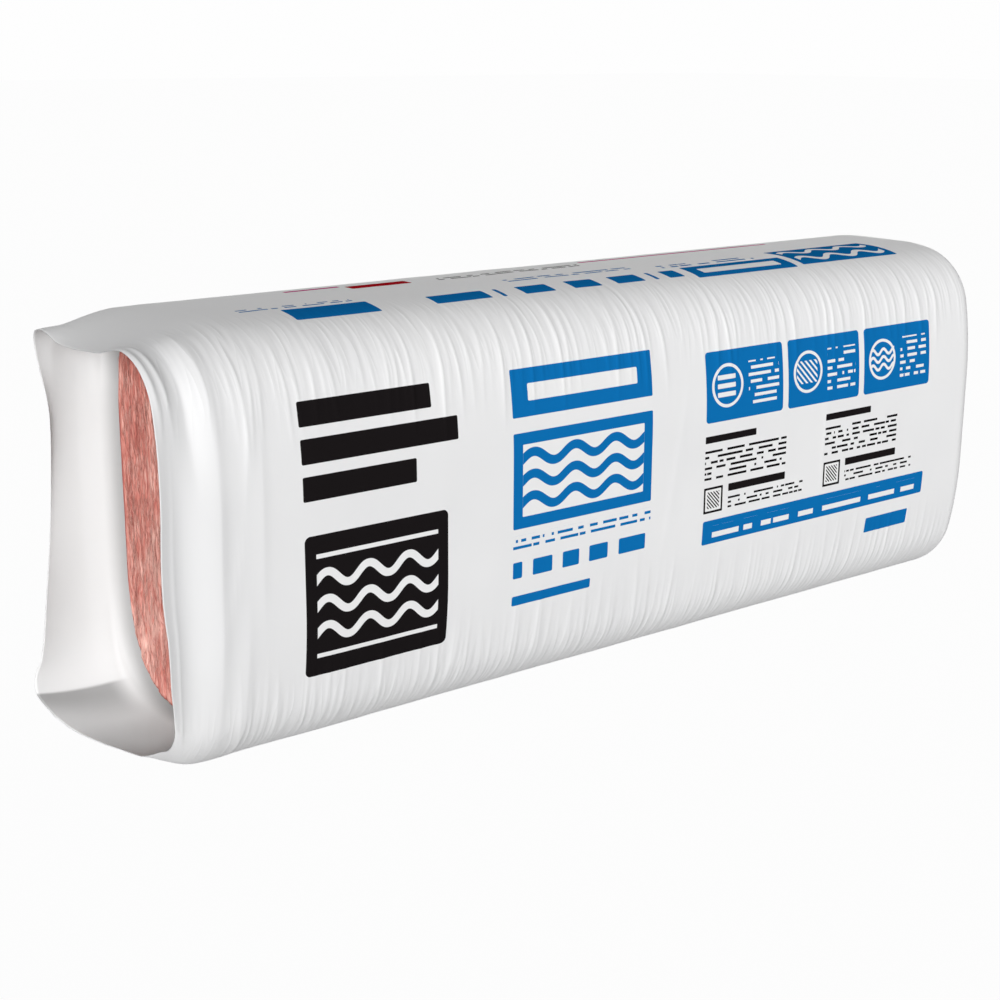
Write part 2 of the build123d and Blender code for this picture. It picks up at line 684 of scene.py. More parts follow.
    def map_film(self, mesh: bpy.types.Mesh, ring: Array, point: Array, travel: Array, around: Array) -> None:
        """Gives the film a map in metres for its print, and a map that fills a square for baking.

        Args:
            mesh: The bag's mesh, not yet welded.
            ring: Ring number of each vertex.
            point: Point number of each vertex.
            travel: Place along the film of each ring.
            around: Place round the film of each point.
        """
        corners = np.empty(len(mesh.loops), dtype=np.int64)
        mesh.loops.foreach_get("vertex_index", corners)
        perimeter = around[-1]
        corner_points = point[corners]
        past_back = np.repeat(corner_points.reshape(-1, 4).min(axis=1), 4) >= len(around) // 2
        along = travel[ring][corners]
        outside = along < INNER_SHIFT / 2
        in_metres = np.stack([along, around[corner_points] - perimeter * past_back], axis=1)
        furthest = travel[travel < INNER_SHIFT / 2].max()
        share_along = (along % INNER_SHIFT - self.lip_x) / (furthest - self.lip_x)
        share_round = around[corner_points] / perimeter
        # The outside fills most of the square, and the inside has a strip above it.
        outer_strip, inner_start = 0.79, 0.81
        strips = outer_strip * share_round, inner_start + (1 - inner_start) * share_round
        in_square = np.stack([share_along, np.where(outside, *strips)], axis=1)
        for layer in list(mesh.uv_layers):
            mesh.uv_layers.remove(layer)
        for name, values in ((PRINT_MAP, in_metres), (BAKE_MAP, in_square)):
            layer = mesh.uv_layers.new(name=name)
            layer.uv.foreach_set("vector", np.ascontiguousarray(values, dtype=np.float32).ravel())


class Ink(Enum):
    """Inks of the film's print, as sRGB hex colours."""

    BLACK = "1C191A"
    BLUE = "0F70B4"
    WHITE = "F0F0F0"
    RED = "B81420"
    MAGENTA = "D2478C"


class Motif(Enum):
    """Kinds of plain shapes in the print."""

    BAR = "bar"
    WAVE = "wave"
    LINES = "lines"
    HATCH = "hatch"


@dataclass(frozen=True)
class Mark:
    """One printed shape, placed in millimetres along the bag and round it.

    Attributes:
        motif: Kind of shape.
        ink: Its colour.
        left: Start along the bag.
        right: End along the bag.
        low: Start round the bag, up from the middle of the front.
        high: End round the bag.
        round: Radius of the corners.
        pitch: Spacing of a wave, of lines of small print or of a hatch.
        line: Width of a wave's line.
    """

    motif: Motif
    ink: Ink
    left: float
    right: float
    low: float
    high: float
    round: float = 1.0
    pitch: float = 10.0
    line: float = 4.0

    def mask(self, nodes: Shading, place: Socket, x: Socket, y: Socket) -> Socket:
        """Adds the nodes that are 1 inside the shape and 0 outside it.

        Args:
            nodes: The film's shading.
            place: Place on the film in millimetres, as a vector.
            x: The same place's number along the bag.
            y: The same place's number round the bag.

        Returns:
            The socket of the mask.
        """
        middle = ((self.left + self.right) / 2, (self.low + self.high) / 2, 0)
        inner = ((self.right - self.left) / 2 - self.round, (self.high - self.low) / 2 - self.round, 0)
        size = nodes.vector("ABSOLUTE", nodes.vector("SUBTRACT", place, middle))
        past = nodes.vector("MAXIMUM", nodes.vector("SUBTRACT", size, inner), (0, 0, 0))
        gap = add_node(nodes.tree, "ShaderNodeVectorMath", {0: past}, operation="LENGTH").outputs["Value"]
        box = self.edge(nodes, gap, self.round)
        if self.motif is Motif.BAR:
            return box
        draw = {Motif.WAVE: self.wave, Motif.LINES: self.lines, Motif.HATCH: self.hatch}[self.motif]
        return nodes.math("MULTIPLY", box, draw(nodes, x, y))

    @staticmethod
    def edge(nodes: Shading, gap: Socket, limit: float) -> Socket:
        """Turns a distance into a mask with a crisp edge, a third of a millimetre soft."""
        steep = 3.0
        return nodes.math("MULTIPLY_ADD", gap, -steep, limit * steep + 0.5, clamp=True)

    def wave(self, nodes: Shading, x: Socket, y: Socket) -> Socket:
        """Draws the looping line that building plans use for insulation.

        Args:
            nodes: The film's shading.
            x: Place along the bag.
            y: Place round the bag.

        Returns:
            The socket of the line's mask.
        """
        swing = (self.high - self.low) / 2 - self.line
        phase = nodes.math("MULTIPLY_ADD", x, tau / self.pitch, -tau * self.left / self.pitch)
        height = nodes.math("MULTIPLY_ADD", nodes.math("SINE", phase), swing, (self.low + self.high) / 2)
        slope = nodes.math("MULTIPLY", nodes.math("COSINE", phase), swing * tau / self.pitch)
        stretch = nodes.math("SQRT", nodes.math("ADD", nodes.math("POWER", slope, 2.0), 1.0))
        off = nodes.math("DIVIDE", nodes.math("SUBTRACT", y, height), stretch)
        return self.edge(nodes, nodes.math("ABSOLUTE", off), self.line / 2)

    def lines(self, nodes: Shading, x: Socket, y: Socket) -> Socket:
        """Draws rows of plain dashes, as fine as small print.

        Args:
            nodes: The film's shading.
            x: Place along the bag.
            y: Place round the bag.

        Returns:
            The socket of the dashes' mask.
        """
        dash_share, dash_pitches, row_jump, bare_share = 0.45, 1.5, 7.31, 0.42
        rows = nodes.math("MULTIPLY_ADD", y, 1 / self.pitch, -self.low / self.pitch)
        thick = nodes.math("LESS_THAN", nodes.math("FRACT", rows), dash_share)
        step = nodes.math("MULTIPLY", x, 1 / (dash_pitches * self.pitch))
        lane = nodes.math("MULTIPLY", nodes.math("FLOOR", rows), row_jump)
        spot = add_node(nodes.tree, "ShaderNodeCombineXYZ", {"X": step, "Y": lane}).outputs[0]
        dashes = nodes.noise(spot, 1.0, 0.0, flat=True).outputs[0]
        return nodes.math("MULTIPLY", thick, nodes.math("GREATER_THAN", dashes, bare_share))

    def hatch(self, nodes: Shading, x: Socket, y: Socket) -> Socket:
        """Draws slanting stripes over places along and round the bag."""
        count = nodes.math("MULTIPLY", nodes.math("ADD", x, y), 1 / self.pitch)
        return nodes.math("LESS_THAN", nodes.math("FRACT", count), self.line / self.pitch)


def print_design() -> list[Mark]:
    """Lists the plain design on the film: blocks, bars, dashes and the plan symbol for insulation.

    Returns:
        The marks, in the order that they are printed.
    """
    bar, wave, lines, hatch = Motif.BAR, Motif.WAVE, Motif.LINES, Motif.HATCH
    black, blue, white = Ink.BLACK, Ink.BLUE, Ink.WHITE
    marks = []
    # Front, left third: heading bars over a black panel with the insulation symbol.
    for low, right in ((136, -318), (96, -284), (56, -342)):
        marks.append(Mark(bar, black, -488, right, low, low + 27, 2))
    marks += [
        Mark(bar, black, -488, -300, -142, 18, 7),
        Mark(bar, white, -474, -314, -8, -3, 0.5),
        Mark(bar, white, -474, -314, -121, -116, 0.5),
    ]
    marks += [Mark(wave, white, -474, -314, low, low + 34, 0.5, 53.3, 9) for low in (-109, -79, -49)]
    # Front, middle: a framed heading, a framed panel of waves, dashes and a row of bars.
    marks += [
        Mark(bar, blue, -206, 12, 108, 164, 2),
        Mark(bar, white, -182, -12, 126, 146, 2),
        Mark(bar, blue, -206, 12, -24, 90, 2),
        Mark(bar, white, -192, -2, -10, 76, 1),
        Mark(lines, blue, -206, 12, -48, -32, 0.5, 8),
    ]
    marks += [Mark(wave, blue, -192, -2, low, low + 36, 0.5, 63.3, 11) for low in (-11, 15, 41)]
    for left, right in ((-206, -192), (-176, -146), (-130, -104), (-88, -58), (-40, 4)):
        marks.append(Mark(bar, blue, left, right, -84, -64, 2))
    marks.append(Mark(bar, blue, -206, -84, -118, -106, 2))
    # Front, right third: three tiles, two columns of small print and a blue band.
    for step in range(3):
        left = 104 + 150 * step
        marks += [
            Mark(bar, blue, left, left + 140, 60, 150, 5),
            Mark(bar, white, left + 10, left + 66, 77, 133, 28),
            Mark(bar, blue, left + 14, left + 62, 81, 129, 24),
            Mark(lines, white, left + 76, left + 132, 76, 132, 0.5, 9),
        ]
    marks += [
        Mark(hatch, white, 270, 310, 90, 120, 2, 9, 4),
        *(Mark(bar, white, 124, 156, low, low + 6, 1) for low in (91, 102, 113)),
        *(Mark(wave, white, 417, 467, low, low + 15, 0.5, 22, 4) for low in (87, 97.5, 108)),
    ]
    for left in (104, 330):
        marks += [
            Mark(bar, black, left, left + 92, 34, 43, 1),
            Mark(lines, black, left, left + 150, -14, 26, 0.5, 7),
            Mark(bar, black, left + 44, left + 150, -34, -24, 1),
            Mark(lines, black, left + 44, left + 186, -56, -40, 0.5, 6),
            Mark(bar, black, left, left + 34, -58, -24, 1),
            Mark(bar, white, left + 3, left + 31, -55, -27, 1),
            Mark(hatch, black, left + 6, left + 28, -52, -30, 0.5, 5, 2.4),
        ]
    marks += [
        Mark(bar, blue, 104, 546, -100, -68, 3),
        Mark(lines, white, 122, 528, -92, -76, 0.5, 16),
        Mark(bar, blue, 430, 520, -142, -120, 2),
    ]
    # Top: a panel of waves, a framed heading, dashes, a row of bars and thin coloured rules at its far edge.
    marks += [
        Mark(bar, blue, 350, 545, 262, 338, 2),
        *(Mark(wave, white, 360, 535, low, low + 34, 0.5, 58.3, 9) for low in (266, 300)),
        Mark(bar, blue, 150, 335, 258, 298, 2),
        Mark(bar, white, 170, 315, 270, 286, 2),
        Mark(lines, blue, 130, 300, 306, 328, 0.5, 11),
        Mark(lines, blue, -110, 90, 322, 344, 0.5, 11),
        Mark(bar, blue, -445, -335, 264, 300, 2),
        Mark(lines, blue, -490, -345, 308, 324, 0.5, 8),
        Mark(bar, Ink.RED, -295, -210, 384, 404, 2),
        Mark(bar, Ink.MAGENTA, -375, -300, 404, 412, 1),
        Mark(bar, Ink.MAGENTA, 75, 430, 407, 413, 1),
        Mark(lines, black, -170, 60, 384, 402, 0.5, 9),
    ]
    spans = ((-258, -178), (-162, -156), (-128, -82), (-52, -8), (18, 64), (82, 88), (106, 132))
    marks += [Mark(bar, blue, left, right, 266, 292, 2) for left, right in spans]
    return marks


@dataclass(frozen=True)
class FilmFinish:
    """Blown low-density polyethylene film, milky white, with flexo ink on its outside.

    The film has the soft sheen of a stretched bag: broad highlights on its folds and a fine drawn wrinkle.
    Pairs are the places where something starts and where it is full, in millimetres.
    """

    wool_place: float
    end_place: float
    pale: str = "F2F2F2"
    shade: str = "EAEAEB"
    # The lining's painted light and shade: inside is whiter than the outside film, for light through it,
    # inside_shade greys it by the wool and low_shade under its low crease.
    inside: str = "FAFAFA"
    inside_shade: str = "C4C4C4"
    shade_reach: float = 26 * MM
    low_shade: str = "BDBDBD"
    low_crease: float = -499 * MM
    low_edge: tuple[float, float] = (-5, 1)
    low_fade: tuple[float, float] = (75, 8)
    low_end: tuple[float, float] = (-20, -50)
    roughness: float = 0.42
    roughness_sway: float = 0.05
    ior: float = 1.51
    gloss: float = 0.06
    inked_green: float = 0.25
    bare_green: float = 0.8
    wrinkle_width: float = 14 * MM
    wrinkle_length: float = 95 * MM
    wrinkle_depth: float = 1.3 * MM
    gather_width: float = 16 * MM
    gather_share: float = 3.0
    gather_span: tuple[float, float] = (-20, 40)
    edge_place: float = 221 * MM
    edge_reach: float = 35 * MM
    edge_fade: float = 95 * MM
    flat_share: float = 0.06
    quarter_round: float = 361.7 * MM
    back_share: float = 1.45
    cloud_size: float = 160 * MM

    def material(self) -> bpy.types.Material:
        """Makes the film's material.

        Returns:
            The material.
        """
        material, tree, shader = new_material("white_polyethylene_film")
        nodes = Shading(tree)
        surface = add_node(tree, "ShaderNodeUVMap", uv_map=PRINT_MAP).outputs[0]
        along, around, _ = nodes.apart(nodes.vector("MULTIPLY", surface, (1 / MM, 1 / MM, 0)))
        where = add_node(tree, "ShaderNodeTexCoord").outputs["Object"]
        cloud = nodes.noise(where, 1 / self.cloud_size, 2.0).outputs[0]
        colour = nodes.tint(cloud, self.shade, self.pale)
        printed = self.print_place(nodes, along, around)
        for mark in print_design():
            colour = nodes.tint(mark.mask(nodes, *printed), colour, mark.ink.value)
        within = nodes.math("GREATER_THAN", along, INNER_SHIFT / 2 / MM)
        colour = nodes.tint(within, colour, self.lining(nodes, along, around))
        outer = nodes.math("SUBTRACT", 1.0, within)
        height = nodes.math("MULTIPLY", self.relief(nodes, surface, along), outer)
        wrinkled = {"Height": height, "Distance": -self.wrinkle_depth}
        bump = add_node(tree, "ShaderNodeBump", wrinkled).outputs[0]
        smooth, dull = self.roughness - self.roughness_sway, self.roughness + self.roughness_sway
        rough = nodes.ramp(cloud, 0.0, 1.0, smooth, dull, "LINEAR")
        # Ink is matt and film is not, so the print keeps its depth where it is seen at a flat angle.
        green = add_node(tree, "ShaderNodeSeparateColor", {0: colour}).outputs["Green"]
        sheen = nodes.ramp(green, self.inked_green, self.bare_green, 0.0, self.gloss, "LINEAR")
        sockets = {"Base Color": colour, "Normal": bump, "Roughness": rough, "Specular IOR Level": sheen}
        nodes.link(shader, sockets)
        shader.inputs["IOR"].default_value = self.ior
        return material

    def lining(self, nodes: Shading, along: Socket, around: Socket) -> Socket:
        """Colours the bare inside with painted light and shade: whiter than the outside, greyer by the wool
        and where it lies low.

        Args:
            nodes: The film's shading.
            along: Place along the film in millimetres.
            around: Place round the film in millimetres.

        Returns:
            The socket of the colour.
        """
        wool, crease = (self.wool_place + INNER_SHIFT) / MM, self.low_crease / MM
        # Painted shade: the lining greys towards the wool's face, where the wool shades it.
        wool_shade = nodes.ramp(along, wool - self.shade_reach / MM, wool)
        # Painted shade: no light comes through the film from under its low crease, so the lining there is
        # painted grey.
        below = nodes.ramp(around, crease + self.low_edge[0], crease + self.low_edge[1])
        above = nodes.ramp(around, crease + self.low_fade[0], crease + self.low_fade[1])
        loose = nodes.ramp(along, wool + self.low_end[0], wool + self.low_end[1])
        low = nodes.math("MULTIPLY", nodes.math("MULTIPLY", below, above), loose)
        return nodes.tint(low, nodes.tint(wool_shade, self.inside, self.inside_shade), self.low_shade)

    def relief(self, nodes: Shading, surface: Socket, along: Socket) -> Socket:
        """Adds fine wrinkles, which are drawn over the long edges and gathered at the closed end.

        Args:
            nodes: The film's shading.
            surface: Place on the film in metres, along the bag and round it.
            along: Place along the film in millimetres.

        Returns:
            The socket of their height.
        """
        drawn = self.wrinkles(nodes, surface, self.wrinkle_width, self.wrinkle_length)
        drawn = nodes.math("MULTIPLY", drawn, self.edges(nodes, surface))
        gathers = self.wrinkles(nodes, surface, self.wrinkle_length, self.gather_width)
        gathers = nodes.math("MULTIPLY", gathers, self.gather_share)
        start, full = (self.end_place / MM + past for past in self.gather_span)
        return nodes.mix(nodes.ramp(along, start, full), drawn, gathers)

    def print_place(self, nodes: Shading, along: Socket, around: Socket) -> tuple[Socket, Socket, Socket]:
        """Turns the back to the front, so that both of the bag's broad sides carry the same print.

        Args:
            nodes: The film's shading.
            along: Place along the film in millimetres.
            around: Place round the film in millimetres.

        Returns:
            The place in the print as a vector, and its numbers along and round the bag.
        """
        quarter = self.quarter_round / MM
        size = nodes.math("ABSOLUTE", around)
        back = nodes.math("GREATER_THAN", size, self.back_share * quarter)
        above = nodes.math("MULTIPLY", nodes.math("SUBTRACT", 2 * quarter, size), nodes.math("SIGN", around))
        x = nodes.mix(back, along, nodes.math("MULTIPLY", along, -1.0))
        y = nodes.mix(back, around, above)
        return add_node(nodes.tree, "ShaderNodeCombineXYZ", {"X": x, "Y": y}).outputs[0], x, y

    @staticmethod
    def wrinkles(nodes: Shading, surface: Socket, width: float, length: float) -> Socket:
        """Adds crisp valleys between soft swells of the film.

        Args:
            nodes: The film's shading.
            surface: Place on the film in metres, along the bag and round it.
            width: Size of a swell along the bag.
            length: Size of a swell round the bag.

        Returns:
            The socket of their height.
        """
        drawn = nodes.vector("MULTIPLY", surface, (1 / width, 1 / length, 0))
        swell = nodes.noise(drawn, 1.0, 1.0, flat=True, Roughness=0.55).outputs[0]
        return nodes.math("ABSOLUTE", nodes.math("SUBTRACT", swell, 0.5))

    def edges(self, nodes: Shading, surface: Socket) -> Socket:
        """Gives 1 on the bag's four long edges, where the tight film wrinkles, and little on its flats.

        Args:
            nodes: The film's shading.
            surface: Place on the film in metres, along the bag and round it.

        Returns:
            The socket of the share.
        """
        folded = nodes.math("PINGPONG", nodes.math("ABSOLUTE", nodes.apart(surface)[1]), self.quarter_round)
        away = nodes.math("ABSOLUTE", nodes.math("SUBTRACT", folded, self.edge_place))
        return nodes.ramp(away, self.edge_reach, self.edge_fade, 1.0, self.flat_share)


@dataclass(frozen=True)
class WoolFinish:
    """Glass wool with a pink binder: matt and warm, with wavy filaments that run up its cut ends.

    Dark filaments are gaps between its layers and pale ones are loose strands. Painted shade darkens it where
    it meets the film, along the joints between batts and towards its top. The filaments are drawn coarser
    than real glass fibre so that they show.
    """

    deep: str = "8A3836"
    dark: str = "B4625A"
    middle: str = "D28175"
    light: str = "F2BFB2"
    bounce: str = "AAA19E"
    streak_width: float = 3.0 * MM
    streak_length: float = 24 * MM
    filament_width: float = 6 * MM
    filament_length: float = 48 * MM
    sway: float = 20 * MM
    sway_length: float = 70 * MM
    curl: float = 9 * MM
    curl_length: float = 20 * MM
    filament_share: float = 0.035
    patch_size: float = 60 * MM
    relief: float = 0.6 * MM
    roughness: float = 0.95
    gloss: float = 0.08

    def material(self) -> bpy.types.Material:
        """Makes the wool's material.

        Returns:
            The material.
        """
        material, tree, shader = new_material("pink_glass_wool")
        nodes = Shading(tree)
        where = add_node(tree, "ShaderNodeTexCoord").outputs["Object"]
        bent = self.bend(nodes, where, where, self.sway, self.sway_length)
        bent = self.bend(nodes, where, bent, self.curl, self.curl_length)
        streaks = self.drawn_noise(nodes, bent, self.streak_width, self.streak_length, 4.0)
        patches = nodes.noise(where, 1 / self.patch_size, 2.0).outputs[0]
        strand, seam_shade = (
            add_node(tree, "ShaderNodeAttribute", attribute_name=name).outputs["Fac"]
            for name in (STRAND, SEAM_SHADE)
        )
        # Each turn adds a share of one pattern to the tone, which then picks a colour. The height's share is
        # painted shade, darker towards the top of the wool.
        tone = streaks
        for pattern, share in ((patches, 0.55), (strand, 0.3), (nodes.apart(where)[2], -0.5)):
            tone = nodes.math("MULTIPLY_ADD", pattern, share, tone)
        ramp = add_node(tree, "ShaderNodeValToRGB", {0: tone})
        ramp.color_ramp.elements.new(0.5)
        stops = ((0.36, self.dark), (0.72, self.middle), (1.0, self.light))
        for stop, (at, colour) in zip(ramp.color_ramp.elements, stops):
            stop.position = at
            stop.color = linear(colour)
        colour = ramp.outputs[0]
        gaps = self.filaments(nodes, bent, 0.0)
        strands = self.filaments(nodes, bent, 40 * self.filament_width)
        # The seam_shade layer is painted shade: by the film, along the joints between batts and on the hidden
        # sides.
        layers = ((strands, 0.35, self.light), (gaps, 0.5, self.deep), (seam_shade, 0.95, self.deep))
        for mask, share, ink in layers:
            colour = nodes.tint(nodes.math("MULTIPLY", mask, share, clamp=True), colour, ink)
        # Light that the wool throws on the film is greyer than the wool, so the film stays white near it.
        bounced = add_node(tree, "ShaderNodeLightPath").outputs["Is Diffuse Ray"]
        colour = nodes.tint(bounced, colour, self.bounce)
        rough = nodes.math("MULTIPLY_ADD", gaps, -0.5, streaks)
        bump = add_node(tree, "ShaderNodeBump", {"Height": rough, "Distance": self.relief}).outputs[0]
        nodes.link(shader, {"Base Color": colour, "Normal": bump})
        shader.inputs["Roughness"].default_value = self.roughness
        shader.inputs["Specular IOR Level"].default_value = self.gloss
        return material

    @staticmethod
    def bend(nodes: Shading, where: Socket, place: Socket, size: float, length: float) -> Socket:
        """Sways a place to the side, so that what is drawn there runs in waves.

        Args:
            nodes: The wool's shading.
            where: Place that the waves are read at.
            place: Place that is moved.
            size: How far it sways.
            length: Length of a wave.

        Returns:
            The socket of the swayed place.
        """
        drift = nodes.noise(where, 1 / length, 1.0).outputs["Color"]
        return nodes.vector("MULTIPLY_ADD", drift, (0, size, 0), place)

    @staticmethod
    def drawn_noise(nodes: Shading, place: Socket, width: float, length: float, detail: float) -> Socket:
        """Adds a noise that is drawn out along the batt's height.

        Args:
            nodes: The wool's shading.
            place: Place that it is read at.
            width: Size of its grains across.
            length: Size of its grains up.
            detail: Number of finer layers.

        Returns:
            The socket of the noise, from 0 to 1.
        """
        drawn = nodes.vector("MULTIPLY", place, (1 / width, 1 / width, 1 / length))
        return nodes.noise(drawn, 1.0, detail, Roughness=0.6, Distortion=0.3).outputs[0]

    def filaments(self, nodes: Shading, place: Socket, offset: float) -> Socket:
        """Draws thin wavy lines along the contours of a drawn-out noise.

        Args:
            nodes: The wool's shading.
            place: Place that they are read at.
            offset: Shift that gives a second set of lines.

        Returns:
            The socket of the lines, 1 on a line and 0 beside it.
        """
        moved = nodes.vector("ADD", place, (offset, offset, 0))
        swell = self.drawn_noise(nodes, moved, self.filament_width, self.filament_length, 2.0)
        size = nodes.math("ABSOLUTE", nodes.math("SUBTRACT", swell, 0.5))
        return nodes.ramp(size, 0.0, self.filament_share, 1.0, 0.0, "LINEAR")


@dataclass
class Batt:
    """One folded batt: two legs of wool that meet at a fold, with cut ends that face the bag's mouth."""

    node: str
    section: BagSection
    inset: float = 1.6 * MM
    slit: float = 1 * MM
    end_round: float = 28 * MM
    edge_round: float = 3 * MM
    cut_share: float = 0.006
    rim_share: float = 0.04
    calm_reach: float = 12 * MM
    bare_edge: float = 14 * MM
    tuft: float = 2.2 * MM
    # film_shade is the reach of the painted shade where the wool meets the film, and seam_share is the
    # painted shade along the joints between batts.
    film_shade: float = 4.5 * MM
    seam_share: float = 0.3
    body_strand: float = 0.4
    edge_power: float = 1.6
    across_cuts: int = 12
    up_cuts: int = 240
    fibre_count: int = 260
    seed: int = FIRST_SEED

    def outline(self) -> tuple[Array, Array]:
        """Gives the top of the space that the wool fills: distance from the middle, and height above it."""
        points, normals = self.section.trace(np.linspace(0, 4.5, 400))
        inside = points - normals * self.inset
        return -inside[::-1, 0], inside[::-1, 1] - self.section.height / 2

    def rise(self, y: Array) -> Array:
        """Gives how far above and below the bag's middle the wool reaches at a distance to the side."""
        across, up = self.outline()
        return np.interp(np.abs(y), across, up)

    def stations(self) -> Array:
        """Lists the places along the folded strip, as a share of a leg, then of the fold, then of a leg."""
        leg = np.array([0, self.cut_share / 3, self.cut_share, 0.02, 0.2, 0.6])
        return np.concatenate([leg, 1 + np.linspace(0, 1, 9), 2 + (1 - leg[::-1])])

    def strip(self) -> bpy.types.Object:
        """Extrudes a fine grid into a block with one ring for each station.

        Returns:
            The block's object.
        """
        deselect()
        bpy.ops.mesh.primitive_grid_add(x_subdivisions=self.up_cuts, y_subdivisions=self.across_cuts, size=1)
        block = bpy.context.object
        bpy.ops.object.mode_set(mode="EDIT")
        bpy.ops.mesh.select_all(action="SELECT")
        bpy.ops.transform.rotate(value=pi / 2, orient_axis="Y", center_override=(0, 0, 0))
        for _ in self.stations()[1:]:
            bpy.ops.mesh.extrude_region_move(TRANSFORM_OT_translate={"value": (1, 0, 0)})
        bpy.ops.mesh.select_all(action="SELECT")
        bpy.ops.mesh.normals_make_consistent(inside=False)
        bpy.ops.mesh.faces_shade_smooth()
        bpy.ops.object.mode_set(mode="OBJECT")
        return block

    def build(self) -> bpy.types.Object:
        """Folds the block into the batt's place, roughens its cut ends and adds loose fibres.

        Returns:
            The batt's object.
        """
        low, high = (np.array(corner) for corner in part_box(self.node))
        batt = self.strip()
        batt.name = batt.data.name = self.node + "_wool"
        unit = vertex_places(batt.data)
        station = self.stations()[np.rint(unit[:, 0]).astype(int)]
        depth = unit[:, 1] + 0.5
        level = 2 * unit[:, 2]
        set_places(batt.data, self.fold(station, depth, level, low, high))
        places = vertex_places(batt.data)
        middle = self.section.height / 2
        above = self.rise(places[:, 1]) - np.abs(places[:, 2] - middle)
        film_gap = np.minimum(self.section.width / 2 - self.inset - np.abs(places[:, 1]), above)
        cut = (station < 1e-6) | (station > 3 - 1e-6)
        # Painted shade on the cut ends: dark where they meet the film and along the joints between batts. The
        # sides are painted fully dark, as shade in the gaps between batts.
        film_contact_shade = np.exp(-((np.maximum(film_gap, 0) / self.film_shade) ** 2))
        shade = np.maximum(self.seam_share * np.abs(2 * depth - 1) ** 6, film_contact_shade)
        seam_shade = np.where(cut, shade, 1.0)
        self.paint(batt.data, SEAM_SHADE, seam_shade)
        self.paint(batt.data, STRAND, np.full(len(unit), self.body_strand))
        fibres = self.fibres(low, high)
        deselect()
        fibres.select_set(True)
        batt.select_set(True)
        bpy.context.view_layer.objects.active = batt
        bpy.ops.object.join()
        return batt

    @staticmethod
    def paint(mesh: bpy.types.Mesh, name: str, values: Array) -> None:
        """Stores one number for each vertex, for the material to read."""
        layer = mesh.attributes.new(name, "FLOAT", "POINT")
        layer.data.foreach_set("value", np.ascontiguousarray(values, dtype=np.float32))

    def fold(self, station: Array, depth: Array, level: Array, low: Array, high: Array) -> Array:
        """Places points of the strip, which runs from one cut end round the fold to the other.

        Args:
            station: Place along the strip: a leg, the fold and the other leg are 1 each.
            depth: Share of the way from the outer to the inner side of the strip.
            level: Place up the strip, from -1 to 1.
            low: Lowest corner of the batt.
            high: Highest corner of the batt.

        Returns:
            The places.
        """
        outer = (high[1] - low[1]) / 2
        middle = (high[1] + low[1]) / 2
        thickness = outer - self.slit / 2
        edge_batt = abs(middle) + outer > self.section.width / 2 - 3 * outer / 2
        share = depth**self.edge_power if edge_batt else depth
        radius = outer - thickness * share
        high_x = high[0]
        fold_x = high_x - outer
        turn = np.clip(station - 1, 0, 1) * pi
        along = np.where(station < 1, station, np.where(station > 2, 3 - station, 1))
        x = low[0] + (fold_x - low[0]) * along + radius * np.sin(turn)
        y = middle - radius * np.cos(turn)
        reach = self.rise(y)
        z = self.section.height / 2 + level * reach
        past = np.clip(1 - (high_x - x) / self.end_round, 0, 1)
        shrink = self.end_round * (1 - np.sqrt(1 - past**2))
        y = y * (1 - shrink / (self.section.width / 2))
        z = self.section.height / 2 + (z - self.section.height / 2) * (1 - shrink / (self.section.height / 2))
        cut = np.clip(1 - along / self.cut_share, 0, 1)
        by_end = np.clip((np.abs(level) - 1 + self.rim_share) / self.rim_share, 0, 1)
        rim = np.maximum(np.abs(2 * depth - 1), by_end) ** 4
        calm = np.clip((self.section.width / 2 - np.abs(y)) / self.calm_reach, 0.1, 1)
        x = x + cut * (self.edge_round * rim - calm * self.tufts(y, z))
        return np.stack([x, y, z], axis=1)

    def tufts(self, y: Array, z: Array) -> Array:
        """Gives the relief of the torn fibres on a cut end.

        Args:
            y: Places across the bundle.
            z: Places up it.

        Returns:
            The heights.
        """
        fine, broad = (4 * MM, 30 * MM), (16 * MM, 120 * MM)
        heights = [
            0.6 * noise.noise(Vector((a / fine[0], b / fine[1], self.seed)))
            + 0.6 * noise.noise(Vector((a / broad[0], b / broad[1], self.seed + 5.5)))
            for a, b in zip(y, z)
        ]
        return self.tuft * np.array(heights)

    def fibres(self, low: Array, high: Array) -> bpy.types.Object:
        """Makes the loose fibres on the cut ends as one mesh of thin three-sided threads.

        They are drawn far thicker than real glass fibre, so that they show.

        Args:
            low: Lowest corner of the batt.
            high: Highest corner of the batt.

        Returns:
            The object that holds them.
        """
        rng = np.random.default_rng(self.seed)
        count, knots, sides = self.fibre_count, 7, 3
        length = rng.uniform(10, 42, count) * MM
        edge = self.section.width / 2 - self.bare_edge
        y = rng.uniform(max(low[1], -edge), min(high[1], edge), count)
        reach = np.maximum(self.rise(y) - 0.6 * length - 4 * MM, 0)
        z = self.section.height / 2 + rng.uniform(-1, 1, count) * reach
        thick = rng.uniform(0.12, 0.3, count) * MM
        lean = rng.normal(0, 0.10, count)
        share = np.linspace(-0.5, 0.5, knots)
        sway = rng.normal(0, 1.6, (count, knots)).cumsum(axis=1) * MM
        sway -= sway.mean(axis=1, keepdims=True)
        path_z = z[:, None] + length[:, None] * share
        path_y = np.clip(y[:, None] + lean[:, None] * length[:, None] * share + sway, low[1], high[1])
        stand = rng.uniform(0.2, 2.4, count) * MM
        arch = stand[:, None] * (1 - 1.4 * (2 * share) ** 2)
        path_x = low[0] - arch - self.tufts(path_y.ravel(), path_z.ravel()).reshape(count, knots)
        taper = thick[:, None] * (1 - 0.75 * np.abs(2 * share) ** 3)
        around = tau * np.arange(sides) / sides
        points = np.stack(
            [
                path_x[..., None] + taper[..., None] * np.cos(around),
                path_y[..., None] + taper[..., None] * np.sin(around),
                np.repeat(path_z[..., None], sides, axis=2),
            ],
            axis=3,
        )
